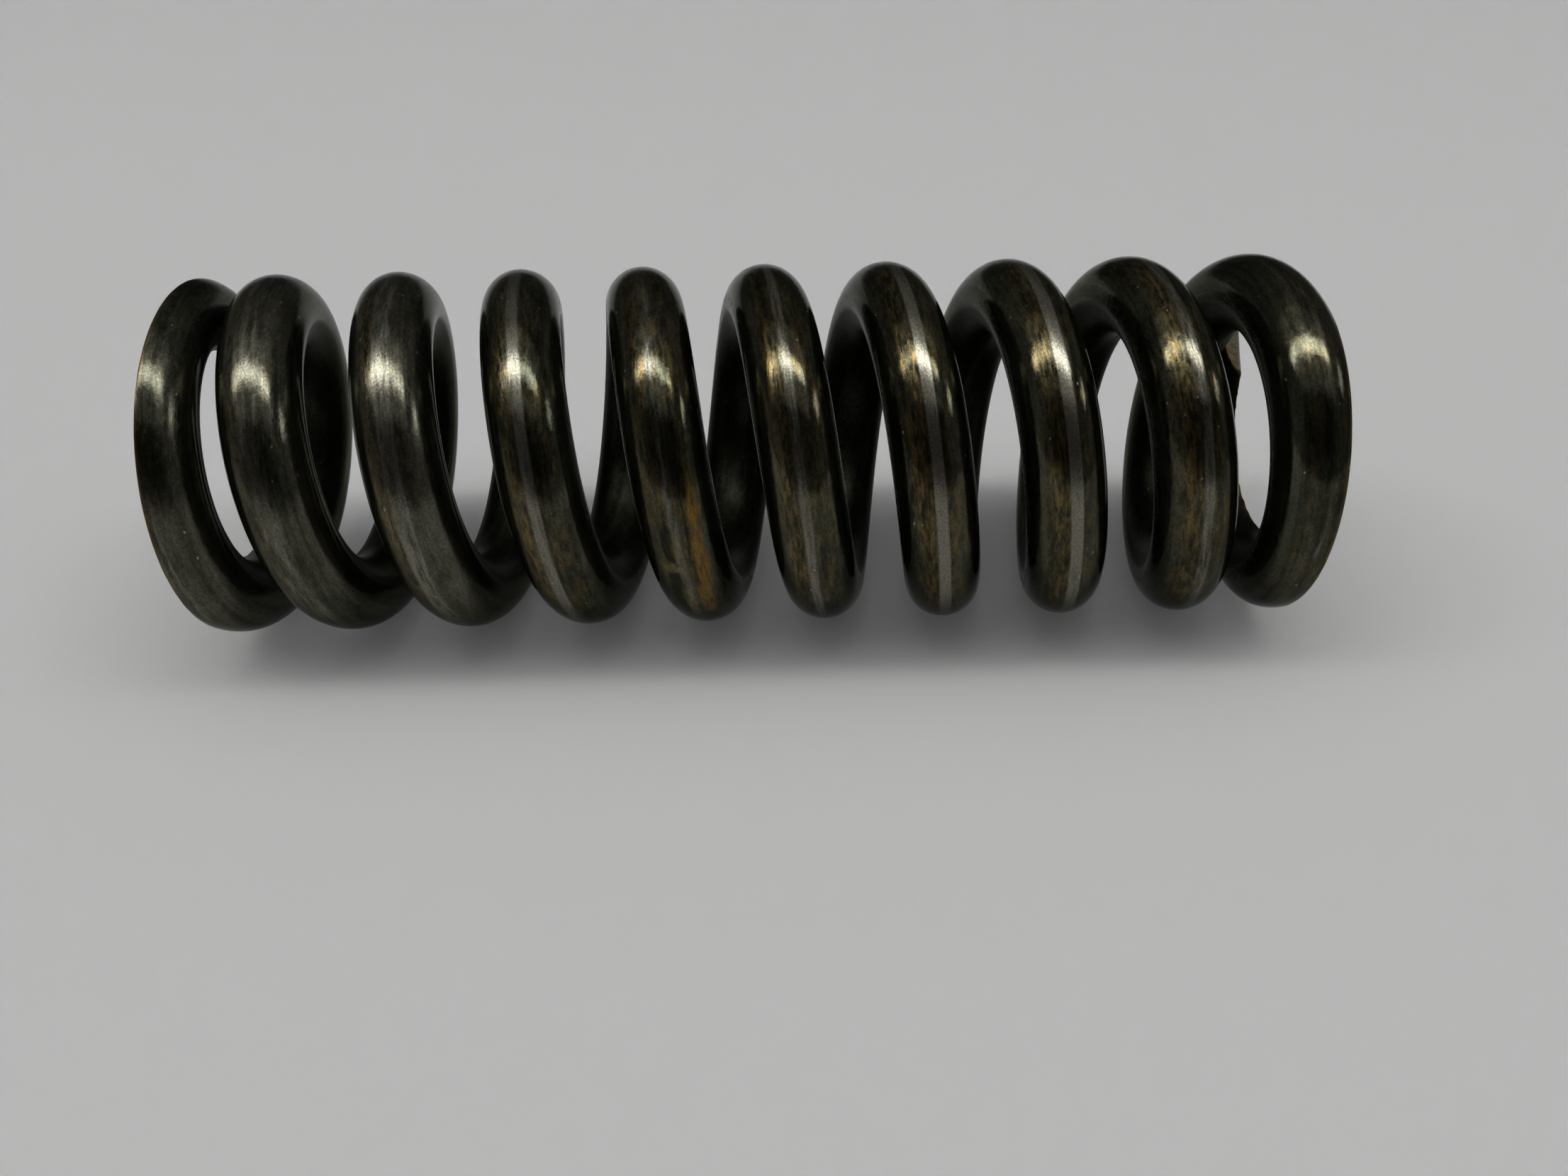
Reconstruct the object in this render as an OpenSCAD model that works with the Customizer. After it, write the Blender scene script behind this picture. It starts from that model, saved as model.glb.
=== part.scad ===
// Compression spring wound from round wire, with closed and ground ends.
// It stands on its lower ground seat: the origin is the middle of that seat,
// and +Z runs up the spring's axis. Sizes are in millimetres and degrees.

/* [Wire] */
// Diameter of the round wire
wire_d = 5; // [3.5:0.1:5.8]

/* [Coil] */
// Diameter over the outside of the coils
outer_d = 24; // [20:0.5:40]
// Length of the unloaded spring, from ground seat to ground seat
free_length = 72; // [66:0.5:110]
// Turns of wire from one wire end to the other
total_turns = 10; // [6:0.01:10.5]
// Way the wire winds as it climbs
hand = "right"; // [right, left]

/* [Lower end] */
// Direction of the lower wire end, turned from +X towards +Y
lower_tip_angle = 195.5; // [0:0.5:359.5]
// Thickness of wire that the grinding leaves at the lower wire end
lower_tip_thick = 1.2; // [0.5:0.1:2.5]
// Clear gap, along the axis, between the lower wire end and the next turn
lower_tip_gap = 0.1; // [0.1:0.1:1.5]
// Turns from the lower wire end that stay closed
lower_closed_turns = 0.6; // [0.4:0.05:0.7]
// Turns after them over which the coil opens to the free pitch
lower_opening_turns = 0.2; // [0.1:0.05:0.3]

/* [Upper end] */
// Thickness of wire that the grinding leaves at the upper wire end
upper_tip_thick = 1.2; // [0.5:0.1:2.5]
// Clear gap, along the axis, between the upper wire end and the next turn
upper_tip_gap = 0.1; // [0.1:0.1:1.5]
// Turns from the upper wire end that stay closed
upper_closed_turns = 0.65; // [0.4:0.05:0.7]
// Turns before them over which the coil opens to the free pitch
upper_opening_turns = 0.3; // [0.1:0.05:0.3]

/* [Surface] */
// Flats around the wire's section
wire_sides = 16; // [12:2:16]
// Sections swept in each turn
sections_per_turn = 30; // [24:2:36]

/* [Hidden] */

wire_r = wire_d / 2;
coil_r = (outer_d - wire_d) / 2; // axis to the middle of the wire
climb_sign = hand == "right" ? 1 : -1;

// Height of the wire's middle at its two ends, so that grinding leaves the wanted tips
lower_end_z = lower_tip_thick - wire_r;
upper_end_z = free_length - upper_tip_thick + wire_r;

// How far an end coil is pressed in, from 1 at its wire end to 0 where it has opened, and
// how fast that falls in each turn: evenly while it stays closed, then less and less
function press(turns, closed, opening) =
    turns < closed ? 1 - turns / (closed + opening / 2)
    : pow(max(0, closed + opening - turns), 2) / (opening * (2 * closed + opening));
function press_slope(turns, closed, opening) =
    min(1, max(0, (closed + opening - turns) / opening)) / (closed + opening / 2);
function lower_pressed(turns) = press(turns, lower_closed_turns, lower_opening_turns);
function upper_pressed(turns) =
    press(total_turns - turns, upper_closed_turns, upper_opening_turns);

// Centre distance between a wire end and the next turn
lower_step = wire_d + lower_tip_gap;
upper_step = wire_d + upper_tip_gap;

// One turn at each end is taken up by its step, and the others share the rest of the length
end_turns = 2;
free_pitch = (upper_end_z - lower_end_z - lower_step - upper_step) / (total_turns - end_turns);
lower_press = free_pitch - lower_step;
upper_press = free_pitch - upper_step;

// Height of the wire's middle, and its climb in each turn, so many turns after the lower end
function wire_z(turns) = lower_end_z + free_pitch * turns
    - lower_press * (1 - lower_pressed(turns))
    - upper_press * upper_pressed(turns);
function wire_climb(turns) = free_pitch
    - lower_press * press_slope(turns, lower_closed_turns, lower_opening_turns)
    - upper_press * press_slope(total_turns - turns, upper_closed_turns, upper_opening_turns);

function unit(v) = v / norm(v);

// Corners of the wire's section, square to the wire, so many turns after the lower end
function section(turns) =
    let (
        angle = lower_tip_angle + climb_sign * 360 * turns,
        outward = [cos(angle), sin(angle), 0],
        onward = climb_sign * [-sin(angle), cos(angle), 0],
        along = unit(2 * PI * coil_r * onward + [0, 0, wire_climb(turns)]),
        across = climb_sign * cross(outward, along),
        middle = coil_r * outward + [0, 0, wire_z(turns)]
    )
    [for (side = [0 : wire_sides - 1])
        middle + wire_r * (cos(360 * side / wire_sides) * outward
                         + sin(360 * side / wire_sides) * across)];

section_count = ceil(total_turns * sections_per_turn);

// The two triangles of one facet, between a section and the next
function facet(ring, side) =
    let (
        a = ring * wire_sides + side,
        b = ring * wire_sides + (side + 1) % wire_sides,
        c = a + wire_sides,
        d = b + wire_sides
    )
    climb_sign > 0 ? [[a, b, d], [a, d, c]] : [[a, d, b], [a, c, d]];

// The round wire as it comes off the coiler, before grinding
module wound_wire() {
    start_cap = [for (side = [0 : wire_sides - 1]) side];
    end_cap = [for (side = [0 : wire_sides - 1]) section_count * wire_sides + side];
    polyhedron(
        points = [for (ring = [0 : section_count])
            for (corner = section(total_turns * ring / section_count)) corner],
        faces = concat(
            [climb_sign > 0 ? [for (i = [wire_sides - 1 : -1 : 0]) start_cap[i]] : start_cap],
            [for (ring = [0 : section_count - 1]) for (side = [0 : wire_sides - 1])
                for (triangle = facet(ring, side)) triangle],
            [climb_sign > 0 ? end_cap : [for (i = [wire_sides - 1 : -1 : 0]) end_cap[i]]]
        )
    );
}

// Everything between the two grinding wheels
module between_wheels() {
    cylinder(h = free_length, d = outer_d + wire_d, $fn = 96);
}

module coil_spring() {
    color([0.17, 0.165, 0.15])
    intersection() {
        wound_wire();
        between_wheels();
    }
}

coil_spring();
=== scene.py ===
"""Looks of a compression spring: its wire, its worn steel finish and its stage.

Lengths are in metres unless a name says mm. The spring's axis is +Z, and it stands on
its lower ground seat at the origin.
"""

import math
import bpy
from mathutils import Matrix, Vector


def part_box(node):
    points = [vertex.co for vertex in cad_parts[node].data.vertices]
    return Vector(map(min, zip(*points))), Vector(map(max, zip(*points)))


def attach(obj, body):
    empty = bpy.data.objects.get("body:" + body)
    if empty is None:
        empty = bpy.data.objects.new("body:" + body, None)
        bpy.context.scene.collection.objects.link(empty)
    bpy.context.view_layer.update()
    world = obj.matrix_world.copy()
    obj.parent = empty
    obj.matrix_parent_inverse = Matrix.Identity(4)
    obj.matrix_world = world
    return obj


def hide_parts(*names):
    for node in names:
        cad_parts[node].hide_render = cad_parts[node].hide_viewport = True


bl_info = {
    "name": "Ground compression spring",
    "version": (1, 0, 0),
    "blender": (4, 5, 0),
    "location": "3D View > Sidebar > Spring",
    "description": "Winds a ground compression spring, finishes its steel and sets its stage",
    "category": "Object",
}

from types import SimpleNamespace

import bpy
import numpy as np
from bpy.props import FloatProperty, FloatVectorProperty, IntProperty, PointerProperty
from mathutils import Matrix, Vector, noise

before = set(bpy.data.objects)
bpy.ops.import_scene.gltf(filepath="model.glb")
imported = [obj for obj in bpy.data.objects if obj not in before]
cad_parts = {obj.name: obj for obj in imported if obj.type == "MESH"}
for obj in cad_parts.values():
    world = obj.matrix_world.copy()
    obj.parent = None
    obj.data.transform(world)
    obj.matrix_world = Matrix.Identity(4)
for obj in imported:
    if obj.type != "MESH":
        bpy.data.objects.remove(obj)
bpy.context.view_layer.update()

MM = 0.001
CAD_NODE = "coil_spring"
NODE_LOW, NODE_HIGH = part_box(CAD_NODE)


def length(name, description, default, **options):
    """A property for a length in metres."""
    return FloatProperty(
        name=name, description=description, default=default, min=0.0, unit="LENGTH",
        precision=5, **options
    )


def colour(name, description, default):
    """A property for a colour in linear light."""
    return FloatVectorProperty(
        name=name, description=description, default=default, min=0.0, max=1.0, size=3,
        subtype="COLOR"
    )


class WireSizes(bpy.types.PropertyGroup):
    """Sizes of the wound, pressed and ground wire."""

    wire_d: length("Wire diameter", "Diameter of the round wire", 5 * MM)
    outer_d: length("Outside diameter", "Diameter over the coils", 24 * MM)
    free_length: length(
        "Free length", "Length between the ground seats", NODE_HIGH.z - NODE_LOW.z
    )
    total_turns: FloatProperty(
        name="Turns", description="Turns from one wire end to the other", default=10.0
    )
    lower_tip_angle: FloatProperty(
        name="Lower end's direction",
        description="Direction of the lower wire end, from +X towards +Y",
        default=math.radians(195.5), subtype="ANGLE"
    )
    lower_tip_thick: length("Lower tip", "Wire left at the lower end", 1.2 * MM)
    lower_tip_gap: length("Lower gap", "Gap above the lower wire end", 0.1 * MM)
    lower_closed_turns: FloatProperty(
        name="Lower closed turns", description="Turns that stay closed", default=0.6
    )
    lower_opening_turns: FloatProperty(
        name="Lower opening turns", description="Turns that open after them", default=0.2
    )
    upper_tip_thick: length("Upper tip", "Wire left at the upper end", 1.2 * MM)
    upper_tip_gap: length("Upper gap", "Gap under the upper wire end", 0.1 * MM)
    upper_closed_turns: FloatProperty(
        name="Upper closed turns", description="Turns that stay closed", default=0.65
    )
    upper_opening_turns: FloatProperty(
        name="Upper opening turns", description="Turns that open before them", default=0.3
    )
    seat_edge: length("Seat edge", "Radius worn on the edge of a ground seat", 0.1 * MM)
    end_edge: length("End edge", "Radius worn on the edge of a sheared end", 0.12 * MM)
    burr: length("Burr", "Ragged lip left by grinding on the seats' edges", 0.16 * MM)
    shear_slant: FloatProperty(
        name="Shear slant", description="Angle of the sheared ends off square",
        default=math.radians(34), subtype="ANGLE"
    )
    rings_per_turn: IntProperty(
        name="Rings", description="Wire sections in each turn", default=160, min=24
    )


class FinishColours(bpy.types.PropertyGroup):
    """Colours that the worn steel shows, as mirrored light where it is bare."""

    dark_oxide: colour("Dark oxide", "Black oil-tempered skin", (0.067, 0.069, 0.049))
    deep_oxide: colour("Deep oxide", "Skin in pits and lines", (0.016, 0.018, 0.012))
    brown_oxide: colour("Brown oxide", "Thin brown film", (0.108, 0.101, 0.064))
    grey_oxide: colour("Grey oxide", "Film rubbed dull", (0.150, 0.140, 0.104))
    amber_oxide: colour("Amber oxide", "Thicker yellow-brown film", (0.156, 0.108, 0.038))
    fleck_oxide: colour("Fleck oxide", "Pale crust flecks", (0.22, 0.185, 0.09))
    rubbed_steel: colour("Rubbed steel", "Stripe rubbed grey", (0.158, 0.151, 0.119))
    bright_steel: colour("Bright steel", "Fresh scratches", (0.42, 0.40, 0.33))
    rust: colour("Rust", "Orange rust", (0.190, 0.102, 0.018))
    ground_steel: colour("Ground steel", "Ground seats", (0.235, 0.225, 0.185))


class StageSettings(bpy.types.PropertyGroup):
    """Where the camera stands, and the light and floor."""

    camera_reach: length("Camera distance", "From the spring's axis", 84.73 * MM)
    camera_rise: FloatProperty(
        name="Camera elevation", description="Height of the view over the floor",
        default=math.radians(30), subtype="ANGLE"
    )
    camera_shift: length("Camera offset", "Along the axis, past the middle", 1.469 * MM)
    camera_turn: FloatProperty(
        name="Camera turn", description="Aim towards the upper end", default=0.00696,
        subtype="ANGLE"
    )
    camera_tip: FloatProperty(
        name="Camera tip", description="Aim above the axis", default=-0.11669,
        subtype="ANGLE"
    )
    camera_roll: FloatProperty(
        name="Camera roll", description="Roll about the line of sight", default=-0.02231,
        subtype="ANGLE"
    )
    lens_mm: FloatProperty(
        name="Lens", description="Focal length on a sensor 36 mm wide", default=28.142
    )
    strip_light: FloatProperty(
        name="Strip light", description="Brightness of the long overhead light",
        default=11.0
    )
    side_light: FloatProperty(
        name="Side light", description="Brightness of the small light at the upper end",
        default=4.5
    )
    glow: FloatProperty(
        name="Glow", description="Brightness of the ceiling round the strip light",
        default=0.35
    )
    room_light: FloatProperty(
        name="Room light", description="Brightness of the room overhead", default=0.15
    )
    dark_walls: FloatProperty(
        name="Dark walls", description="Brightness of the room low behind the spring",
        default=0.05
    )
    side_walls: FloatProperty(
        name="Side walls", description="Brightness of the room past the spring's ends",
        default=0.14
    )
    low_front: FloatProperty(
        name="Low front", description="Brightness behind the camera, near the floor",
        default=0.12
    )
    dark_front: FloatProperty(
        name="Dark front", description="Brightness behind the camera, higher up",
        default=0.015
    )
    floor_colour: colour("Floor", "Pale plain floor", (0.48, 0.48, 0.478))


def press(turns, closed, opening):
    """Share of an end's pressing that is left so many turns from its wire end."""
    late = np.maximum(0, closed + opening - turns) ** 2 / opening / (2 * closed + opening)
    return np.where(turns < closed, 1 - turns / (closed + opening / 2), late)


def press_slope(turns, closed, opening):
    """How fast press falls, per turn."""
    return np.clip((closed + opening - turns) / opening, 0, 1) / (closed + opening / 2)


# Turns that the steps at both ends take up
END_TURNS = 2


class Winding:
    """Where the middle of the wire runs, for arrays of turns from the lower end."""

    def __init__(self, sizes):
        self.sizes = sizes
        self.wire_r = sizes.wire_d / 2
        self.coil_r = (sizes.outer_d - sizes.wire_d) / 2
        self.low_z = sizes.lower_tip_thick - self.wire_r
        high_z = sizes.free_length - sizes.upper_tip_thick + self.wire_r
        low_step = sizes.wire_d + sizes.lower_tip_gap
        high_step = sizes.wire_d + sizes.upper_tip_gap
        rise = high_z - self.low_z - low_step - high_step
        self.pitch = rise / (sizes.total_turns - END_TURNS)
        self.low_press = self.pitch - low_step
        self.high_press = self.pitch - high_step
        self.low_bend = (sizes.lower_closed_turns, sizes.lower_opening_turns)
        self.high_bend = (sizes.upper_closed_turns, sizes.upper_opening_turns)

    def height(self, turns):
        """Height of the wire's middle."""
        low = press(turns, *self.low_bend)
        high = press(self.sizes.total_turns - turns, *self.high_bend)
        pressed = self.low_press * (1 - low) + self.high_press * high
        return self.low_z + self.pitch * turns - pressed

    def climb(self, turns):
        """Rise of the wire in each turn."""
        low = press_slope(turns, *self.low_bend)
        high = press_slope(self.sizes.total_turns - turns, *self.high_bend)
        return self.pitch - self.low_press * low - self.high_press * high

    def axes(self, turns):
        """The wire's middle, with its outward, across and along directions."""
        angle = self.sizes.lower_tip_angle + 2 * math.pi * turns
        zero = np.zeros_like(turns)
        outward = np.stack([np.cos(angle), np.sin(angle), zero], 1)
        onward = np.stack([-np.sin(angle), np.cos(angle), zero], 1)
        along = 2 * math.pi * self.coil_r * onward
        along[:, 2] = self.climb(turns)
        along /= np.linalg.norm(along, axis=1, keepdims=True)
        middle = self.coil_r * outward
        middle[:, 2] = self.height(turns)
        return middle, outward, np.cross(outward, along), along


# Corners of one wire section: across a ground flat, round its edges, and round the rest
FLAT_STEPS = 12
EDGE_STEPS = 3
ARC_STEPS = 30
SIDES = FLAT_STEPS + 2 * EDGE_STEPS + ARC_STEPS
# Half the angle into which the flat's corners gather where the grinding runs out
GATHERED = math.radians(1.5)
# Turns over which they spread evenly round the wire again
SPREAD_TURNS = 0.45
# Depth of grinding under which a section still counts as round
LEAST_DEPTH = 0.004 * MM
# Spread of heights under which a section's corners still lie on one flat
LEVEL = 1e-9
# Turns over which the sections lean over to a slanted end
LEANING_TURNS = 0.1


def round_section(radius, gather):
    """A round section, its corners drawn towards the ground side by the share gather."""
    step = np.arange(SIDES) - FLAT_STEPS / 2
    even = step * 2 * math.pi / SIDES
    flat_half, far = FLAT_STEPS / 2, SIDES / 2
    near_angle = 2 * GATHERED
    packed = np.interp(
        step,
        [-flat_half - EDGE_STEPS, -flat_half, flat_half, flat_half + EDGE_STEPS,
         2 * far - flat_half - EDGE_STEPS],
        [-near_angle, -GATHERED, GATHERED, near_angle, 2 * math.pi - near_angle],
    )
    angle = even + (packed - even) * gather - math.pi / 2
    return radius * np.stack([np.cos(angle), np.sin(angle)], 1)


def ground_section(radius, cut, edge):
    """A round section with its lower side ground away up to the height cut."""
    edge = min(edge, (radius - cut) / 4)
    edge_y = cut + edge
    edge_x = math.sqrt(max(0.0, (radius - edge) ** 2 - edge_y**2))
    lean = math.atan2(edge_y, edge_x)
    flat = -edge_x * np.cos(np.linspace(0, math.pi, FLAT_STEPS + 1))
    share = np.arange(1, EDGE_STEPS + 1) / EDGE_STEPS
    turn = -math.pi / 2 + share * (lean + math.pi / 2)
    arc = lean + np.arange(1, ARC_STEPS + 1) / ARC_STEPS * (math.pi - 2 * lean)
    right_x, right_y = edge_x + edge * np.cos(turn), edge_y + edge * np.sin(turn)
    back = slice(EDGE_STEPS - 2, None, -1)
    return np.concatenate([
        np.stack([flat, np.full(FLAT_STEPS + 1, cut)], 1),
        np.stack([right_x, right_y], 1),
        radius * np.stack([np.cos(arc), np.sin(arc)], 1),
        np.stack([-right_x[back], right_y[back]], 1),
    ])


def wire_section(winding, turn, inset):
    """Corners of the wire's section in its outward and across directions."""
    sizes = winding.sizes
    radius = winding.wire_r - inset
    height = float(winding.height(turn))
    climb = float(winding.climb(turn))
    upright = math.cos(math.atan2(climb, 2 * math.pi * winding.coil_r))
    low_cut = -height / upright + inset
    high_cut = (height - sizes.free_length) / upright + inset
    at_lower_end = turn < sizes.total_turns / 2
    cut = low_cut if at_lower_end else high_cut
    if cut + radius > LEAST_DEPTH:
        section = ground_section(radius, cut, sizes.seat_edge)
    else:
        clear = (-radius - cut) / climb
        section = round_section(radius, 1 - min(1.0, clear / SPREAD_TURNS) ** 0.5)
    if at_lower_end:
        return section
    return np.roll(-section, SIDES // 2, axis=0)


def ring_list(sizes, turn_length):
    """Turn and inset of each ring, with the worn edges of both sheared ends."""
    count = round(sizes.total_turns * sizes.rings_per_turn)
    edge_angles = np.linspace(math.pi / 2, 0, EDGE_STEPS + 1)
    thick = min(sizes.lower_tip_thick, sizes.upper_tip_thick)
    edge = min(sizes.end_edge, thick / 4)
    start = edge * (1 - np.sin(edge_angles)) / turn_length
    inset = edge * (1 - np.cos(edge_angles))
    middle = np.linspace(0, sizes.total_turns, count + 1)[1:-1]
    turns = np.concatenate([start, middle, sizes.total_turns - start[::-1]])
    insets = np.concatenate([inset, np.zeros(len(middle)), inset[::-1]])
    return turns, insets


def leaning(sizes, turn):
    """How far a section leans forward, in mm for each mm outward."""
    from_end = min(turn, sizes.total_turns - turn)
    share = max(0.0, 1 - from_end / LEANING_TURNS)
    return math.tan(sizes.shear_slant) * share


def swung(points, angles):
    """Points turned about the spring's axis."""
    c, s = np.cos(angles), np.sin(angles)
    x, y, z = points.T
    return np.stack([c * x - s * y, s * x + c * y, z], 1)


# Share of the burr that is left on the outer edge of a seat
OUTER_BURR = 0.15
# Distance along the wire over which the burr's height changes
BURR_GRAIN = 0.9 * MM
# Share of the burr's height that is left where it is low
BURR_BASE = 0.15


def burred(section, along, first_flat, burr):
    """A ground section with a ragged lip on the edges of its flat, most on the inner."""
    section = section.copy()
    for start, side in ((first_flat, -1), (first_flat + FLAT_STEPS, 1)):
        ragged = noise.fractal(Vector((along / BURR_GRAIN, 5.0 * start, 0)), 1.0, 2.0, 3)
        lip = burr * max(0.0, ragged + BURR_BASE)
        if section[start % SIDES, 0] > 0:
            lip *= OUTER_BURR
        for step in range(EDGE_STEPS):
            corner = (start + side * step) % SIDES
            section[corner, 0] += math.copysign(lip, section[corner, 0])
    return section


# Rings of a sheared face, as shares of the way from its middle to its rim
CAP_SHARES = (0.8, 0.55, 0.28, 0.0)
# Height and spacing of the bumps of torn metal
TORN_HEIGHT = 0.035 * MM
TORN_GRAIN = 0.5 * MM


def cap_rings(points, centre, normal):
    """Rings of a sheared face inside its rim, uneven like torn metal, and its middle."""
    rings = []
    for share in CAP_SHARES:
        ring = centre + (points - centre) * share
        if share == 0.0:
            ring = ring[:1]
        bumps = [noise.fractal(Vector(p) / TORN_GRAIN, 1.0, 2.0, 3) for p in ring]
        rings.append(ring + normal * TORN_HEIGHT * np.array(bumps)[:, None])
    return rings


WIRE_FINISH, SEAT_FINISH, SHEARED_FINISH = range(3)


class MeshLists:
    """Vertices, faces and the values that each vertex carries for the materials."""

    def __init__(self):
        self.points, self.places, self.turns = [], [], []
        self.faces, self.finishes = [], []
        self.count = 0

    def add_ring(self, points, places, turn):
        """Adds one ring's vertices and returns the number of the first."""
        first = self.count
        self.points.append(points)
        self.places.append(places)
        self.turns.append(np.full(len(points), turn))
        self.count += len(points)
        return first

    def add_band(self, lower, upper, seat_sides):
        """Joins two rings with quads, those on some of the sides as a ground seat."""
        for side in range(SIDES):
            after = (side + 1) % SIDES
            self.faces.append((lower + side, upper + side, upper + after, lower + after))
            self.finishes.append(SEAT_FINISH if side in seat_sides else WIRE_FINISH)

    def add_cap(self, rim, rim_points, section, turn, along):
        """Closes the wire with a sheared face."""
        centre = rim_points.mean(0)
        outer = rim
        for share, ring in zip(CAP_SHARES, cap_rings(rim_points, centre, along)):
            place = section[: len(ring)] * share
            spot = np.column_stack([np.zeros(len(ring)), place / MM])
            inner = self.add_ring(ring, spot, turn)
            for side in range(SIDES):
                after = (side + 1) % SIDES
                if len(ring) > 1:
                    face = (outer + side, outer + after, inner + after, inner + side)
                else:
                    face = (outer + side, outer + after, inner)
                self.faces.append(face if turn == 0 else face[::-1])
                self.finishes.append(SHEARED_FINISH)
            outer = inner


# The stripe rubbed along the outside of the coil: turn, direction round the wire in
# degrees from outward, half width in degrees, and how far it is rubbed
RUBBED_STRIPE = (
    (0.0, -4, 9, 0.3),
    (1.4, 2, 14, 0.35),
    (2.4, 0, 12, 0.65),
    (3.4, -3, 8, 0.85),
    (4.4, -2, 7, 0.3),
    (5.4, -2, 6.5, 0.65),
    (6.4, 1, 8.5, 0.95),
    (7.4, 4, 9, 1.0),
    (8.4, 2, 7.5, 0.6),
    (9.2, 1, 6, 0.15),
    (10.0, 0, 5, 0.0),
)

# Marks on the wire: kind, turn, direction round the wire in degrees, length and width in mm
RUST, BARE, CRUST = range(3)
LISTED_MARKS = (
    (RUST, 4.43, 30, 1.8, 0.35),
    (RUST, 4.48, 28, 2.4, 0.5),
    (RUST, 4.53, 23, 1.8, 0.45),
    (RUST, 2.1, 150, 3.0, 0.7),
    (RUST, 6.4, -120, 4.0, 0.6),
    (RUST, 8.9, 95, 2.5, 0.5),
    (BARE, 4.455, -15, 1.1, 0.4),
    (BARE, 4.51, -16, 1.8, 0.45),
    (CRUST, 4.46, -4, 0.9, 0.22),
    (CRUST, 4.48, -16, 0.3, 0.5),
    (CRUST, 4.53, -3, 1.8, 0.3),
)


def mark_amounts(turns, angles, turn_length, wire_r):
    """How strong each kind of mark is at each vertex, from the list."""
    amounts = np.zeros((len(turns), 3))
    for kind, turn, direction, mark_length, mark_width in LISTED_MARKS:
        away = np.abs((angles - direction + 180) % 360 - 180)
        wide = np.radians(away) * wire_r / (mark_width * MM)
        far = (turns - turn) * turn_length / (mark_length * MM)
        amounts[:, kind] = np.maximum(amounts[:, kind], np.exp(-(wide**2) - far**2))
    return amounts


# Width of the rust along an edge, and its strength there
EDGE_RUST_WIDTH = 0.25 * MM
EDGE_RUST_SHARE = 0.55


def edge_rust(sizes, places, turns):
    """Rust along the edges of the ground seats and of the sheared ends."""
    points = places * MM
    winding = Winding(sizes)
    height = winding.height(turns) + points[:, 2]
    off_seat = np.minimum(height, sizes.free_length - height)
    off_end = np.minimum(turns, sizes.total_turns - turns) * 2 * math.pi * winding.coil_r
    off_edge = np.minimum(off_seat, off_end) / EDGE_RUST_WIDTH
    return EDGE_RUST_SHARE * np.exp(-np.clip(off_edge, 0, None) ** 2)


def wire_mesh(sizes):
    """The whole wire as one closed mesh with its wear values."""
    winding = Winding(sizes)
    turn_length = math.hypot(2 * math.pi * winding.coil_r, winding.pitch)
    turns, insets = ring_list(sizes, turn_length)
    middle, outward, across, along = winding.axes(turns)
    lists = MeshLists()
    rings, sections, was_ground = [], [], False
    for index, (turn, inset) in enumerate(zip(turns, insets)):
        section = wire_section(winding, turn, inset)
        at_lower_end = turn < sizes.total_turns / 2
        first_flat = 0 if at_lower_end else SIDES // 2
        flat = section[first_flat : first_flat + FLAT_STEPS + 1, 1]
        is_ground = np.ptp(flat) < LEVEL
        if is_ground:
            section = burred(section, turn * turn_length, first_flat, sizes.burr)
        lean = leaning(sizes, turn)
        points = middle[index] + section[:, :1] * outward[index]
        points = points + section[:, 1:] * across[index]
        points = swung(points, lean * section[:, 0] / (winding.coil_r + section[:, 0]))
        place = np.column_stack([turn * turn_length + lean * section[:, 0], section]) / MM
        rings.append(lists.add_ring(points, place, turn))
        sections.append(section)
        if index:
            on_seat = is_ground and was_ground
            seat_sides = range(first_flat, first_flat + FLAT_STEPS) if on_seat else ()
            lists.add_band(rings[-2], rings[-1], seat_sides)
        was_ground = is_ground
    slant = math.tan(sizes.shear_slant)
    for index in (0, len(turns) - 1):
        normal = along[index] - slant * outward[index]
        lists.add_cap(
            rings[index], lists.points[index], sections[index], turns[index],
            normal / np.linalg.norm(normal)
        )
    return lists, turn_length, winding


def spring_object(sizes, materials):
    """The spring's piece, in place, with the attributes that its materials read."""
    lists, turn_length, winding = wire_mesh(sizes)
    mesh = bpy.data.meshes.new("spring_wire")
    mesh.from_pydata(np.concatenate(lists.points).tolist(), [], lists.faces)
    mesh.validate()
    for material in materials:
        mesh.materials.append(material)
    mesh.polygons.foreach_set("material_index", lists.finishes)
    mesh.polygons.foreach_set("use_smooth", [True] * len(lists.faces))
    places = np.concatenate(lists.places)
    turns = np.concatenate(lists.turns)
    angles = np.degrees(np.arctan2(places[:, 2], places[:, 1]))
    stripe = np.array(RUBBED_STRIPE)
    rubbed = [np.interp(turns, stripe[:, 0], stripe[:, k]) for k in (1, 2, 3)]
    add_vectors(mesh, "wire_place", places)
    add_vectors(mesh, "rubbed_stripe", np.stack(rubbed, 1))
    marks = mark_amounts(turns, angles, turn_length, winding.wire_r)
    marks[:, RUST] = np.maximum(marks[:, RUST], edge_rust(sizes, places, turns))
    add_vectors(mesh, "listed_marks", marks)
    mesh.update()
    piece = bpy.data.objects.new("spring_wire", mesh)
    bpy.context.scene.collection.objects.link(piece)
    return piece


def add_vectors(mesh, name, values):
    """Stores one vector for each vertex."""
    attribute = mesh.attributes.new(name, "FLOAT_VECTOR", "POINT")
    attribute.data.foreach_set("vector", np.ascontiguousarray(values).ravel())


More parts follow.
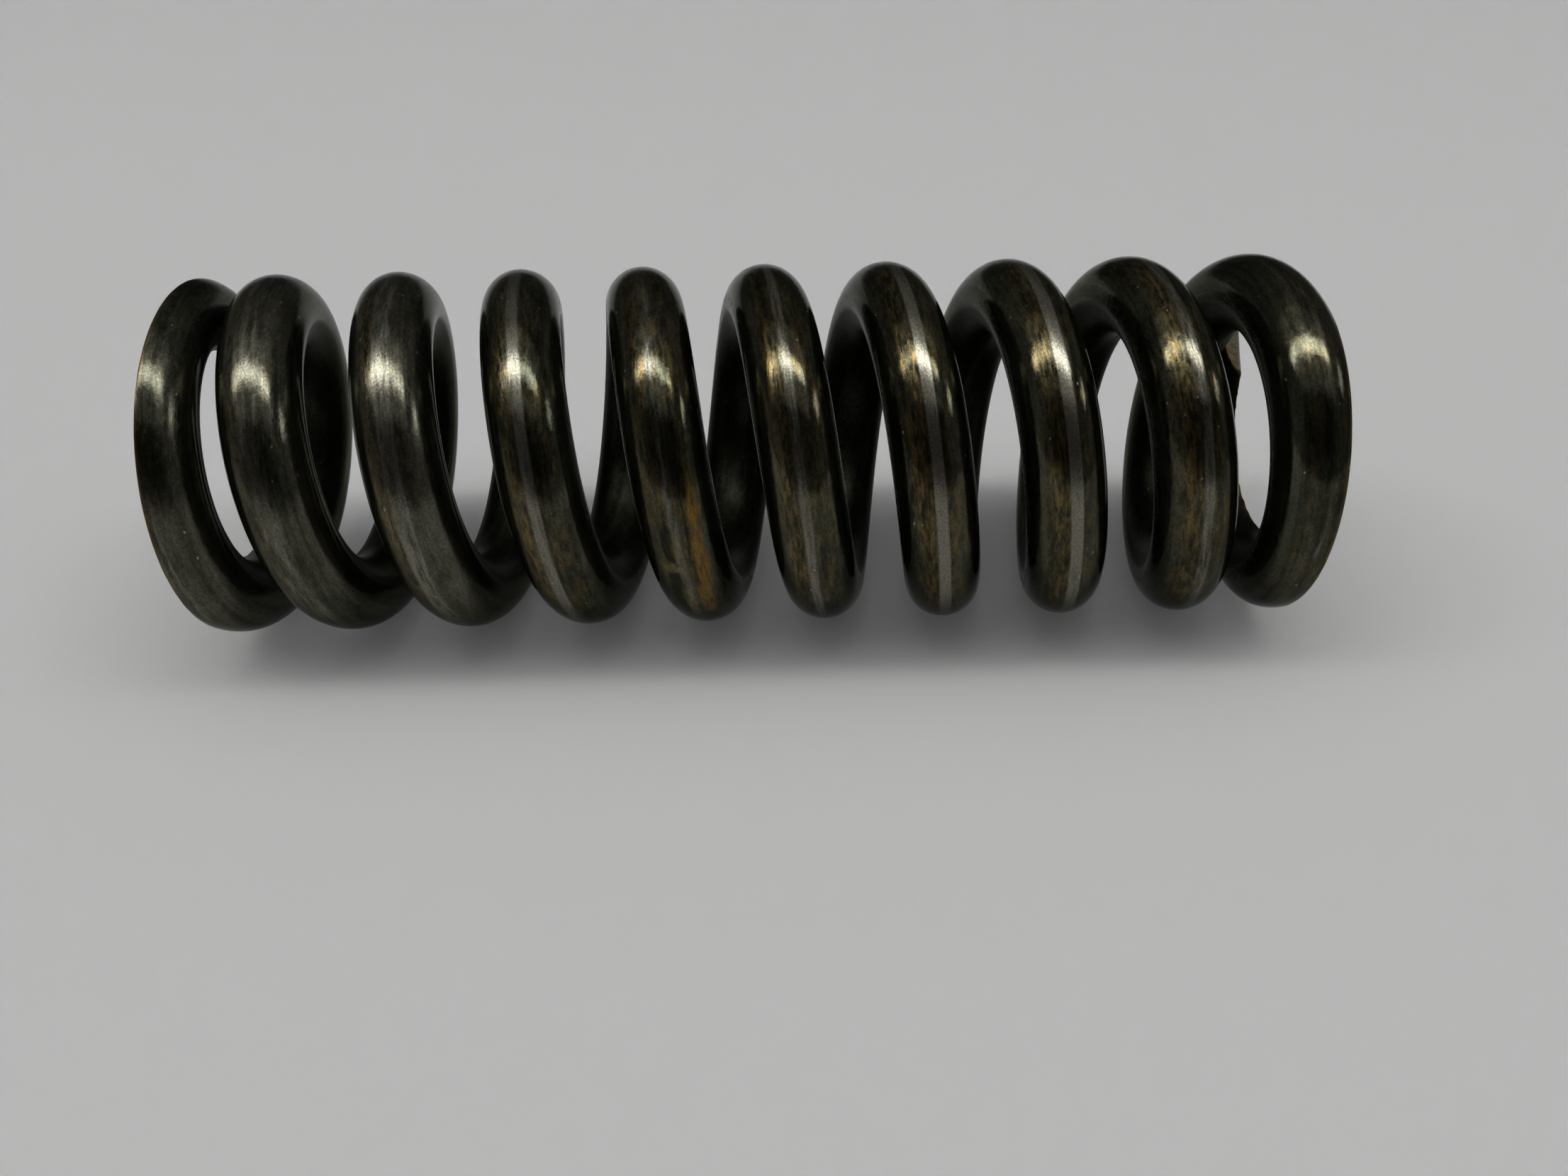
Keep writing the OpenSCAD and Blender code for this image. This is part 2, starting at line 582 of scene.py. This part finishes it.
class Wiring:
    """Adds nodes to one tree. An input given as a socket is linked, any other is set."""

    def __init__(self, tree):
        self.tree = tree

    def add(self, kind, inputs=None, **settings):
        """A new node with its settings and inputs."""
        node = self.tree.nodes.new(kind)
        for name, value in settings.items():
            setattr(node, name, value)
        for name, value in (inputs or {}).items():
            self.put(node.inputs[name], value)
        return node

    def put(self, socket, value):
        """Links or sets one input."""
        if isinstance(value, bpy.types.NodeSocket):
            self.tree.links.new(value, socket)
        else:
            socket.default_value = value

    def math(self, operation, *values, clamp=False):
        """The result of a Math node."""
        node = self.add("ShaderNodeMath", dict(enumerate(values)), operation=operation)
        node.use_clamp = clamp
        return node.outputs[0]

    def times(self, *factors):
        """The product of some numbers."""
        product = factors[0]
        for factor in factors[1:]:
            product = self.math("MULTIPLY", product, factor)
        return product

    def total(self, *terms):
        """The sum of some patterns, each times its own size."""
        total = 0.0
        for pattern, size in terms:
            total = self.math("ADD", total, self.times(pattern, size))
        return total

    def parts(self, vector):
        """The three numbers of a vector."""
        return self.add("ShaderNodeSeparateXYZ", {0: vector}).outputs

    def vector(self, operation, *values):
        """The result of a Vector Math node."""
        inputs = dict(enumerate(values))
        return self.add("ShaderNodeVectorMath", inputs, operation=operation).outputs[0]

    def toward(self, direction, way):
        """How far a direction points a fixed way, from -1 to 1."""
        inputs = {0: direction, 1: tuple(way)}
        node = self.add("ShaderNodeVectorMath", inputs, operation="DOT_PRODUCT")
        return node.outputs["Value"]

    def ramp(self, value, low, high, from_low=0.0, to_high=1.0, smooth=True):
        """The value as it passes from low to high, given as a share."""
        kind = "SMOOTHSTEP" if smooth else "LINEAR"
        inputs = {0: value, 1: low, 2: high, 3: from_low, 4: to_high}
        node = self.add("ShaderNodeMapRange", inputs, interpolation_type=kind)
        return node.outputs[0]

    def mix(self, share, first, second):
        """A colour between two, by a share. A fixed colour is given by three numbers."""
        node = self.add("ShaderNodeMix", data_type="RGBA", clamp_factor=True)
        self.put(node.inputs[0], share)
        for socket, value in ((6, first), (7, second)):
            if not isinstance(value, bpy.types.NodeSocket):
                value = (*value, 1.0)
            self.put(node.inputs[socket], value)
        return node.outputs[2]

    def coat(self, colour, *coats):
        """A colour under some coats, each given by its share and its own colour."""
        for share, coat in coats:
            colour = self.mix(share, colour, coat)
        return colour

    def shade(self, colour, *factors):
        """A colour made lighter or darker by some factors."""
        for factor in factors:
            inputs = {0: colour, 3: factor}
            node = self.add("ShaderNodeVectorMath", inputs, operation="SCALE")
            colour = node.outputs[0]
        return colour

    def mix_number(self, share, first, second):
        """A number between two, by a share."""
        inputs = {0: share, 2: first, 3: second}
        return self.add("ShaderNodeMix", inputs, data_type="FLOAT").outputs[0]

    def noise(self, place, detail=3.0, roughness=0.55, distortion=0.0):
        """Cloudy noise at a place."""
        inputs = {
            "Vector": place, "Scale": 1.0, "Detail": detail, "Roughness": roughness,
            "Distortion": distortion,
        }
        return self.add("ShaderNodeTexNoise", inputs).outputs[0]


def new_group(name, inputs, outputs):
    """An empty shader node group with float and vector sockets, and its wiring."""
    tree = bpy.data.node_groups.new(name, "ShaderNodeTree")
    for socket, default in inputs.items():
        kind = "NodeSocketVector" if default is None else "NodeSocketFloat"
        made = tree.interface.new_socket(socket, in_out="INPUT", socket_type=kind)
        if default is not None:
            made.default_value = default
    for socket in outputs:
        tree.interface.new_socket(socket, in_out="OUTPUT", socket_type="NodeSocketFloat")
    wiring = Wiring(tree)
    entry = wiring.add("NodeGroupInput").outputs
    exit_node = wiring.add("NodeGroupOutput")
    return tree, wiring, entry, exit_node.inputs


def stretched(wiring, place, across, along):
    """The place in steps of so many mm across the wire and along it."""
    steps = wiring.add("ShaderNodeCombineXYZ", {0: along, 1: across, 2: across})
    return wiring.vector("DIVIDE", place, steps.outputs[0])


def drawing_lines_group():
    """Fine lines that the drawing die leaves along the wire."""
    tree, w, entry, leave = new_group(
        "Drawing lines",
        {"Place": None, "Width": 0.2, "Length": 12.0, "Contrast": 0.3, "Seed": 0.0},
        ["Lines"],
    )
    steps = stretched(w, entry["Place"], entry["Width"], entry["Length"])
    moved = w.vector("ADD", steps, entry["Seed"])
    lines = w.noise(moved, detail=4.0, roughness=0.65)
    low = w.math("SUBTRACT", 0.5, entry["Contrast"])
    high = w.math("ADD", 0.5, entry["Contrast"])
    w.put(leave["Lines"], w.ramp(lines, low, high))
    return tree


def patches_group():
    """Patches of a film that covers part of the metal."""
    tree, w, entry, leave = new_group(
        "Patches",
        {"Place": None, "Size": 0.8, "Length": 2.5, "Cover": 0.5, "Edge": 0.06,
         "Seed": 0.0},
        ["Patches"],
    )
    steps = stretched(w, entry["Place"], entry["Size"], entry["Length"])
    moved = w.vector("ADD", steps, entry["Seed"])
    cloud = w.noise(moved, detail=6.0, roughness=0.62, distortion=0.25)
    # The noise keeps near its middle, so a cover from 0 to 1 spans only this part of it
    limit = w.ramp(entry["Cover"], 0.0, 1.0, 0.72, 0.28, smooth=False)
    low = w.math("SUBTRACT", limit, entry["Edge"])
    high = w.math("ADD", limit, entry["Edge"])
    w.put(leave["Patches"], w.ramp(cloud, low, high))
    return tree


def specks_group():
    """Small scattered specks."""
    tree, w, entry, leave = new_group(
        "Specks",
        {"Place": None, "Spacing": 0.5, "Length": 0.7, "Share": 0.3, "Size": 0.3},
        ["Specks"],
    )
    steps = stretched(w, entry["Place"], entry["Spacing"], entry["Length"])
    cells = w.add("ShaderNodeTexVoronoi", {"Vector": steps, "Scale": 1.0})
    chosen = w.add("ShaderNodeSeparateColor", {0: cells.outputs["Color"]}).outputs[0]
    kept = w.math("LESS_THAN", chosen, entry["Share"])
    reach = w.math("MULTIPLY", entry["Size"], 0.5)
    near = w.ramp(cells.outputs["Distance"], entry["Size"], reach)
    w.put(leave["Specks"], w.math("MULTIPLY", near, kept))
    return tree


def scratches_group():
    """Hair-thin scratches that run along, wander a little and break off."""
    tree, w, entry, leave = new_group(
        "Scratches",
        {"Place": None, "Spacing": 3.0, "Length": 9.0, "Width": 0.01, "Share": 0.4},
        ["Scratches"],
    )
    steps = stretched(w, entry["Place"], entry["Spacing"], entry["Length"])
    line = w.noise(steps, detail=1.0, roughness=0.3)
    off = w.math("ABSOLUTE", w.math("SUBTRACT", line, 0.5))
    thin = w.ramp(off, entry["Width"], 0.0)
    elsewhere = w.vector("ADD", steps, (7.3, 1.9, 4.1))
    limit = w.math("SUBTRACT", 1.0, entry["Share"])
    gate = w.noise(elsewhere, detail=2.0)
    kept = w.ramp(gate, limit, w.math("ADD", limit, 0.05))
    w.put(leave["Scratches"], w.math("MULTIPLY", thin, kept))
    return tree


def band_group():
    """A band along the wire, at an angle round it from straight outward."""
    tree, w, entry, leave = new_group(
        "Band",
        {"Place": None, "Middle": 0.0, "Half width": 10.0, "Edge": 1.0},
        ["Band"],
    )
    parts = w.parts(entry["Place"])
    angle = w.math("DEGREES", w.math("ARCTAN2", parts[2], parts[1]))
    off = w.math("WRAP", w.math("SUBTRACT", angle, entry["Middle"]), 180.0, -180.0)
    away = w.math("ABSOLUTE", off)
    inner = w.math("SUBTRACT", entry["Half width"], entry["Edge"])
    outer = w.math("ADD", entry["Half width"], entry["Edge"])
    w.put(leave["Band"], w.ramp(away, outer, inner))
    return tree


GROUP_MAKERS = {
    "Drawing lines": drawing_lines_group,
    "Patches": patches_group,
    "Specks": specks_group,
    "Scratches": scratches_group,
    "Band": band_group,
}


def effect(wiring, name, place, **values):
    """Places a shared effect in a material and returns its output."""
    tree = bpy.data.node_groups.get(name) or GROUP_MAKERS[name]()
    node = wiring.add("ShaderNodeGroup", node_tree=tree)
    node.label = name
    wiring.put(node.inputs["Place"], place)
    for key, value in values.items():
        wiring.put(node.inputs[key.replace("_", " ").capitalize()], value)
    return node.outputs[0]


def new_material(name):
    """A material with its Principled node, and its wiring."""
    material = bpy.data.materials.new(name)
    material.use_nodes = True
    wiring = Wiring(material.node_tree)
    shader = material.node_tree.nodes["Principled BSDF"]
    return material, wiring, shader


def attribute(wiring, name):
    """The outputs of an Attribute node."""
    return wiring.add("ShaderNodeAttribute", attribute_name=name).outputs


def relief(wiring, shader, height_mm):
    """Feeds a height in mm to the shader's normal."""
    height = wiring.math("MULTIPLY", height_mm, MM)
    bump = wiring.add("ShaderNodeBump", {"Height": height, "Distance": 1.0})
    wiring.put(shader.inputs["Normal"], bump.outputs[0])


# Bands round the wire, as half widths in degrees from straight outward: what the eye and
# the hand reach, past which the colour is painted darker as shade inside the coil, what
# gets rubbed in use, and the outermost part
OUTSIDE_HALF = 102.0
HANDLED_HALF = 76.0
OUTERMOST_HALF = 42.0
# Stretches of the wire, in mm from its lower end: from the dull grey lower coils to the
# glossy ones, and from the brown ones to the blacker last coil
GLOSSY_FROM, GLOSSY_TO = 140.0, 230.0
BLACKER_FROM, BLACKER_TO = 490.0, 560.0
# Middle of the pitted crust beside the stripe, in degrees before the stripe's middle
CRUST_OFFSET = 21.0


def wire_wear_and_shade(w):
    """The masks and patterns of the wire's wear, and the band past which shade is painted
    inside the coil, that its colour and relief share.
    """
    wear = SimpleNamespace()
    place = wear.place = attribute(w, "wire_place")["Vector"]
    stripe_values = w.parts(attribute(w, "rubbed_stripe")["Vector"])
    stripe_middle, stripe_half, stripe_share = stripe_values
    marks = w.parts(attribute(w, "listed_marks")["Vector"])
    wear.rust_here, wear.bare_here, wear.crust_here = marks

    def band(half_width, edge, middle=0.0):
        return effect(w, "Band", place, middle=middle, half_width=half_width, edge=edge)

    def patches(size, length, cover, edge, seed):
        return effect(
            w, "Patches", place, size=size, length=length, cover=cover, edge=edge,
            seed=seed
        )

    # Past the outside band, inside the coil, the colour is painted darker as shade
    wear.outside = band(OUTSIDE_HALF, 6.0)
    wear.handled = band(HANDLED_HALF, 5.0)
    wear.outermost = band(OUTERMOST_HALF, 18.0)
    along = w.parts(place)[0]
    glossy = wear.glossy = w.ramp(along, GLOSSY_FROM, GLOSSY_TO)
    wear.browned = w.ramp(along, BLACKER_FROM, BLACKER_TO, 1.0, 0.45)

    wear.fine = effect(w, "Drawing lines", place, width=0.09, length=2.5, contrast=0.28)
    wear.broad = effect(
        w, "Drawing lines", place, width=0.8, length=30.0, contrast=0.16, seed=3.7
    )
    wear.cloud = patches(1.3, 2.6, cover=0.5, edge=0.2, seed=6.6)
    wear.grain = patches(0.1, 0.13, cover=0.5, edge=0.24, seed=9.1)
    film_cover = w.mix_number(wear.cloud, 0.18, 0.62)
    wear.film = patches(0.22, 0.45, cover=film_cover, edge=0.16, seed=11.3)
    tint_cover = w.mix_number(glossy, 0.2, 0.4)
    wear.tinted = patches(0.4, 1.6, cover=tint_cover, edge=0.12, seed=17.9)

    # The pitted crust runs in stretches beside the rubbed stripe
    beside_middle = w.math("SUBTRACT", stripe_middle, CRUST_OFFSET)
    beside = w.times(
        band(11.0, 5.0, beside_middle),
        w.ramp(stripe_share, 0.1, 0.8, 0.15, 1.0),
        patches(1.4, 4.5, cover=0.56, edge=0.16, seed=23.3),
    )
    wear.pitted = patches(0.22, 0.8, cover=0.54, edge=0.1, seed=5.1)
    wear.unpitted = w.math("SUBTRACT", 1.0, wear.pitted)
    wear.pits = w.times(beside, wear.unpitted, 0.6)
    wear.crust = w.times(w.math("MAXIMUM", beside, wear.crust_here), wear.pitted)

    stripe_edge = w.mix_number(stripe_share, 5.0, 1.6)
    worn = patches(0.3, 1.8, cover=stripe_share, edge=0.2, seed=2.2)
    wear.stripe = w.times(band(stripe_half, stripe_edge, stripe_middle), worn)
    wear.nicks = effect(
        w, "Specks", place, spacing=0.6, length=0.8, share=0.14, size=0.13
    )
    streaks = patches(0.24, 0.9, cover=0.55, edge=0.12, seed=8.4)
    wear.rust = w.times(w.ramp(wear.rust_here, 0.15, 0.7), streaks)
    return wear


def film_colour(w, wear, colours):
    """The oil-tempered skin under its grey and brown films and its pitted crust."""
    glossy = wear.glossy
    skin = w.mix(wear.broad, colours.deep_oxide, colours.dark_oxide)
    rubbed_skin = w.mix(wear.broad, colours.dark_oxide, colours.grey_oxide)
    colour = w.mix(w.mix_number(glossy, 0.5, 0.0), skin, rubbed_skin)
    share = w.times(wear.film, w.mix_number(glossy, 0.26, 0.45), wear.browned)
    film = w.mix(glossy, colours.grey_oxide, colours.brown_oxide)
    tint = w.times(
        wear.tinted, w.mix_number(glossy, 0.3, 0.5), wear.outermost, wear.browned
    )
    stained = w.times(w.ramp(wear.rust_here, 0.02, 0.5), wear.tinted)
    return w.coat(
        colour,
        (w.times(wear.fine, 0.35), colours.deep_oxide),
        (share, film),
        (w.math("MAXIMUM", tint, stained), colours.amber_oxide),
        (w.times(wear.crust, 0.75), colours.amber_oxide),
        (wear.pits, colours.deep_oxide),
        (w.times(wear.unpitted, 0.35, wear.outermost), colours.deep_oxide),
    )


def worn_colour(w, wear, colours, colour):
    """The film's colour with the rubbed stripe, bare spots, flecks, nicks and rust, and with
    painted shade darkening the inside of the coil.
    """
    bare = w.times(w.ramp(wear.bare_here, 0.15, 0.45), w.mix_number(wear.pitted, 1.0, 0.75))
    colour = w.coat(colour, (wear.stripe, colours.rubbed_steel), (bare, colours.deep_oxide))
    tone = w.mix_number(w.math("MAXIMUM", wear.cloud, wear.stripe), 0.7, 1.1)
    colour = w.shade(colour, tone, w.mix_number(wear.grain, 0.6, 1.4))
    flecks = w.times(w.ramp(wear.crust_here, 0.1, 0.6), w.mix_number(wear.film, 0.2, 1.0))
    colour = w.coat(
        colour,
        (w.times(flecks, 0.7), colours.fleck_oxide),
        (w.times(wear.nicks, 0.6), colours.bright_steel),
        (w.times(wear.rust, 0.85), colours.rust),
    )
    # Painted shade: inside the coil, past the outside band, the colour is darkened to 0.42
    return w.shade(colour, w.mix_number(wear.outside, 0.42, 1.0))


def wire_roughness(w, wear):
    """Glossy where the film is thin and duller in crust, stripe, rust and inside."""
    rough = w.mix_number(wear.film, 0.11, 0.18)
    rough = w.times(rough, w.mix_number(wear.glossy, 1.35, 1.0))
    rough = w.mix_number(wear.crust, rough, 0.24)
    rough = w.mix_number(wear.stripe, rough, 0.21)
    rough = w.mix_number(wear.rust, rough, 0.3)
    unrubbed = w.mix_number(wear.glossy, 0.75, 1.8)
    rough = w.times(rough, w.mix_number(wear.handled, unrubbed, 1.0))
    return w.mix_number(wear.outside, 0.42, rough)


def wire_height(w, wear):
    """Height of the wire's fine relief, in mm."""
    peel = w.noise(stretched(w, wear.place, 0.45, 0.6), detail=2.5)
    grain_size = w.mix_number(wear.stripe, w.mix_number(wear.glossy, 0.0015, 0.0008), 0.0022)
    return w.total(
        (peel, w.mix_number(wear.handled, 0.003, 0.01)),
        (wear.grain, w.times(grain_size, w.mix_number(wear.handled, 0.2, 1.0))),
        (wear.fine, w.mix_number(wear.outside, 0.003, 0.0006)),
        (wear.broad, 0.003),
        (wear.crust, 0.004),
        (wear.nicks, -0.004),
        (wear.rust, 0.01),
    )


def drawn_wire_material(colours):
    """Oil-tempered wire: black skin, drawing lines, a rubbed stripe, brown film, rust."""
    material, w, shader = new_material("drawn_wire")
    wear = wire_wear_and_shade(w)
    colour = worn_colour(w, wear, colours, film_colour(w, wear, colours))
    w.put(shader.inputs["Base Color"], colour)
    w.put(shader.inputs["Roughness"], wire_roughness(w, wear))
    metal = w.math("SUBTRACT", 0.94, w.times(wear.rust, 0.1))
    w.put(shader.inputs["Metallic"], metal)
    shader.inputs["Specular Tint"].default_value = (0.56, 0.57, 0.55, 1.0)
    relief(w, shader, wire_height(w, wear))
    return material


def place_in_mm(w):
    """The object's own coordinates in mm."""
    place = w.add("ShaderNodeTexCoord").outputs["Object"]
    return w.vector("DIVIDE", place, (MM, MM, MM))


def ground_seat_material(colours):
    """Seat ground flat by a wheel, then dulled and browned."""
    material, w, shader = new_material("ground_seat")
    place = place_in_mm(w)
    marks = effect(w, "Drawing lines", place, width=0.12, length=9.0, contrast=0.22)
    film = effect(
        w, "Patches", place, size=1.1, length=1.8, cover=0.45, edge=0.2, seed=4.4
    )
    scratches = effect(
        w, "Scratches", place, spacing=1.5, length=14.0, width=0.01, share=0.45
    )
    colour = w.coat(
        w.mix(marks, colours.ground_steel, colours.rubbed_steel),
        (w.times(film, 0.4), colours.brown_oxide),
        (w.times(scratches, 0.5), colours.bright_steel),
    )
    w.put(shader.inputs["Base Color"], colour)
    w.put(shader.inputs["Roughness"], w.mix_number(film, 0.36, 0.52))
    shader.inputs["Metallic"].default_value = 1.0
    relief(w, shader, w.total((marks, 0.004), (scratches, -0.006)))
    return material


def sheared_end_material(colours):
    """Wire end torn by the cutter, half burnished and half rusty brown."""
    material, w, shader = new_material("sheared_end")
    place = place_in_mm(w)
    torn = effect(
        w, "Patches", place, size=0.35, length=0.35, cover=0.5, edge=0.1, seed=1.7
    )
    marks = effect(w, "Drawing lines", place, width=0.1, length=0.8, contrast=0.2)
    colour = w.mix(marks, colours.brown_oxide, colours.dark_oxide)
    colour = w.mix(w.times(torn, 0.6), colour, colours.amber_oxide)
    w.put(shader.inputs["Base Color"], colour)
    w.put(shader.inputs["Roughness"], w.mix_number(torn, 0.35, 0.6))
    w.put(shader.inputs["Metallic"], w.math("SUBTRACT", 1.0, w.times(torn, 0.4)))
    relief(w, shader, w.times(torn, 0.03))
    return material


class SPRING_OT_wind_wire(bpy.types.Operator):
    """Wind, press and grind the wire, and give it its finish"""

    bl_idname = "spring.wind_wire"
    bl_label = "Wind the spring"

    def execute(self, context):
        sizes = context.scene.spring_sizes
        colours = context.scene.spring_colours
        materials = (
            drawn_wire_material(colours),
            ground_seat_material(colours),
            sheared_end_material(colours),
        )
        piece = spring_object(sizes, materials)
        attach(piece, "root")
        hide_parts(CAD_NODE)
        return {"FINISHED"}


# The spring lies on its side for the camera. The floor touches it at its greatest Y,
# so up is -Y there, and the camera looks from the +X side.
UP = Vector((0, -1, 0))
FRONT = Vector((1, 0, 0))
AXIS = Vector((0, 0, 1))
FLOOR_HALF = 1.5
# The long lights hang over the spring, leaning to the camera's side
LEAN_TO_FRONT = math.radians(8)
STRIP_HEIGHT = 1.6
STRIP_SIZE = (3.1, 0.27)
# The strip's middle lies past the lower end
STRIP_SHIFT = 0.35
CEILING_HEIGHT = 1.3 * STRIP_HEIGHT
CEILING_SIZE = (4.0, 2.2)
# The small light's place from the middle of the spring, past its upper end
SIDE_PLACE = Vector((0.0736, -0.752, 1.408))
SIDE_SIZE = (0.2, 0.35)
# The backdrop's brightness as a share of the floor's colour
BACKDROP_SHARE = 0.62


def floor_material(settings):
    """Plain pale matt floor, seen only from above so that it hides nothing from behind."""
    material, w, shader = new_material("pale_floor")
    shader.inputs["Base Color"].default_value = (*settings.floor_colour, 1.0)
    shader.inputs["Roughness"].default_value = 0.9
    shader.inputs["Specular IOR Level"].default_value = 0.2
    shader.subsurface_method = "BURLEY"
    shader.inputs["Subsurface Weight"].default_value = 0.85
    shader.inputs["Subsurface Radius"].default_value = (1.0, 1.0, 1.0)
    shader.inputs["Subsurface Scale"].default_value = 22 * MM
    clear = w.add("ShaderNodeBsdfTransparent")
    behind = w.add("ShaderNodeNewGeometry").outputs["Backfacing"]
    one_sided = w.add(
        "ShaderNodeMixShader", {0: behind, 1: shader.outputs[0], 2: clear.outputs[0]}
    )
    output = material.node_tree.nodes["Material Output"]
    w.put(output.inputs["Surface"], one_sided.outputs[0])
    return material


def add_floor(settings, centre, drop):
    """A flat sheet under the spring as it lies."""
    middle = centre - UP * drop
    corners = [
        middle + FRONT * FLOOR_HALF * a + AXIS * FLOOR_HALF * b
        for a, b in ((-1, -1), (1, -1), (1, 1), (-1, 1))
    ]
    mesh = bpy.data.meshes.new("floor")
    mesh.from_pydata([tuple(corner) for corner in corners], [], [(0, 1, 2, 3)])
    if mesh.polygons[0].normal.dot(UP) < 0:
        mesh.flip_normals()
    mesh.materials.append(floor_material(settings))
    floor = bpy.data.objects.new("floor", mesh)
    bpy.context.scene.collection.objects.link(floor)


def add_panel(name, centre, direction, along, size, brightness):
    """A soft rectangular light that faces the spring, with its long side along a line."""
    light = bpy.data.lights.new(name, "AREA")
    light.shape = "RECTANGLE"
    light.size, light.size_y = size
    light.energy = brightness * math.pi * size[0] * size[1]
    back = direction.normalized()
    right = (along - back * along.dot(back)).normalized()
    up = back.cross(right)
    panel = bpy.data.objects.new(name, light)
    turn = Matrix((right, up, back)).transposed().to_4x4()
    panel.matrix_world = Matrix.Translation(centre + direction) @ turn
    bpy.context.scene.collection.objects.link(panel)


def toward_camera(settings):
    """Direction from the spring to the camera, before its small turns."""
    return FRONT * math.cos(settings.camera_rise) + UP * math.sin(settings.camera_rise)


def add_room(settings):
    """Room light, darker low down and behind the camera, and a pale backdrop."""
    world = bpy.data.worlds.new("room")
    world.use_nodes = True
    w = Wiring(world.node_tree)
    direction = w.add("ShaderNodeTexCoord").outputs["Generated"]
    facing = w.toward(direction, toward_camera(settings))
    sideways = w.math("ABSOLUTE", w.toward(direction, AXIS))
    walls = w.ramp(sideways, 0.3, 0.9, settings.dark_walls, settings.side_walls)
    rise = w.toward(direction, UP)
    above = w.ramp(rise, 0.25, 0.8, walls, settings.room_light)
    ahead = w.ramp(rise, 0.0, 0.35, settings.low_front, settings.dark_front)
    room = w.ramp(facing, 0.55, 0.9, above, ahead)
    backdrop = tuple(BACKDROP_SHARE * c for c in settings.floor_colour)
    background = world.node_tree.nodes["Background"]
    seen = w.add("ShaderNodeLightPath").outputs["Is Camera Ray"]
    w.put(background.inputs["Color"], w.mix(seen, room, backdrop))
    bpy.context.scene.world = world


def add_camera(settings, centre):
    """The camera, from the line of sight of the photograph."""
    lift = settings.camera_rise
    toward = toward_camera(settings)
    raised = UP * math.cos(lift) - FRONT * math.sin(lift)
    place = centre + toward * settings.camera_reach + AXIS * settings.camera_shift
    turn, tip, roll = settings.camera_turn, settings.camera_tip, settings.camera_roll
    sight = AXIS * math.sin(turn) * math.cos(tip)
    sight -= toward * math.cos(turn) * math.cos(tip)
    sight += raised * math.sin(tip)
    right = sight.cross(raised).normalized()
    up = right.cross(sight)
    right, up = (
        right * math.cos(roll) + up * math.sin(roll),
        up * math.cos(roll) - right * math.sin(roll),
    )
    camera = bpy.data.objects.new("camera", bpy.data.cameras.new("camera"))
    camera.data.lens = settings.lens_mm
    camera.data.sensor_width = 36.0
    camera.data.clip_start = 1 * MM
    camera.matrix_world = (
        Matrix.Translation(place) @ Matrix((right, up, -sight)).transposed().to_4x4()
    )
    bpy.context.scene.collection.objects.link(camera)
    bpy.context.scene.camera = camera


class SPRING_OT_set_stage(bpy.types.Operator):
    """Set the floor, the lights and the camera"""

    bl_idname = "spring.set_stage"
    bl_label = "Set the stage"

    def execute(self, context):
        sizes = context.scene.spring_sizes
        settings = context.scene.spring_stage
        centre = AXIS * sizes.free_length / 2
        add_floor(settings, centre, sizes.outer_d / 2)
        overhead = UP * math.cos(LEAN_TO_FRONT) + FRONT * math.sin(LEAN_TO_FRONT)
        add_panel(
            "strip_light", centre - AXIS * STRIP_SHIFT, overhead * STRIP_HEIGHT, AXIS,
            STRIP_SIZE, settings.strip_light
        )
        add_panel(
            "ceiling_glow", centre, overhead * CEILING_HEIGHT, AXIS, CEILING_SIZE,
            settings.glow
        )
        add_panel("side_light", centre, SIDE_PLACE, UP, SIDE_SIZE, settings.side_light)
        add_room(settings)
        add_camera(settings, centre)
        context.scene.view_settings.view_transform = "Standard"
        return {"FINISHED"}


class SPRING_PT_tools(bpy.types.Panel):
    """Lists the spring's sizes, colours and steps"""

    bl_idname = "SPRING_PT_tools"
    bl_label = "Compression spring"
    bl_space_type = "VIEW_3D"
    bl_region_type = "UI"
    bl_category = "Spring"

    def draw(self, context):
        groups = (
            context.scene.spring_sizes,
            context.scene.spring_colours,
            context.scene.spring_stage,
        )
        for group in groups:
            box = self.layout.box()
            for name in group.__annotations__:
                box.prop(group, name)
        for operator in (SPRING_OT_wind_wire, SPRING_OT_set_stage):
            self.layout.operator(operator.bl_idname)


CLASSES = (
    WireSizes,
    FinishColours,
    StageSettings,
    SPRING_OT_wind_wire,
    SPRING_OT_set_stage,
    SPRING_PT_tools,
)


def register():
    for cls in CLASSES:
        bpy.utils.register_class(cls)
    bpy.types.Scene.spring_sizes = PointerProperty(type=WireSizes)
    bpy.types.Scene.spring_colours = PointerProperty(type=FinishColours)
    bpy.types.Scene.spring_stage = PointerProperty(type=StageSettings)


def unregister():
    del bpy.types.Scene.spring_stage
    del bpy.types.Scene.spring_colours
    del bpy.types.Scene.spring_sizes
    for cls in reversed(CLASSES):
        bpy.utils.unregister_class(cls)


def main():
    """Builds the spring and its stage."""
    register()
    bpy.ops.spring.wind_wire()
    bpy.ops.spring.set_stage()


if __name__ == "__main__":
    main()
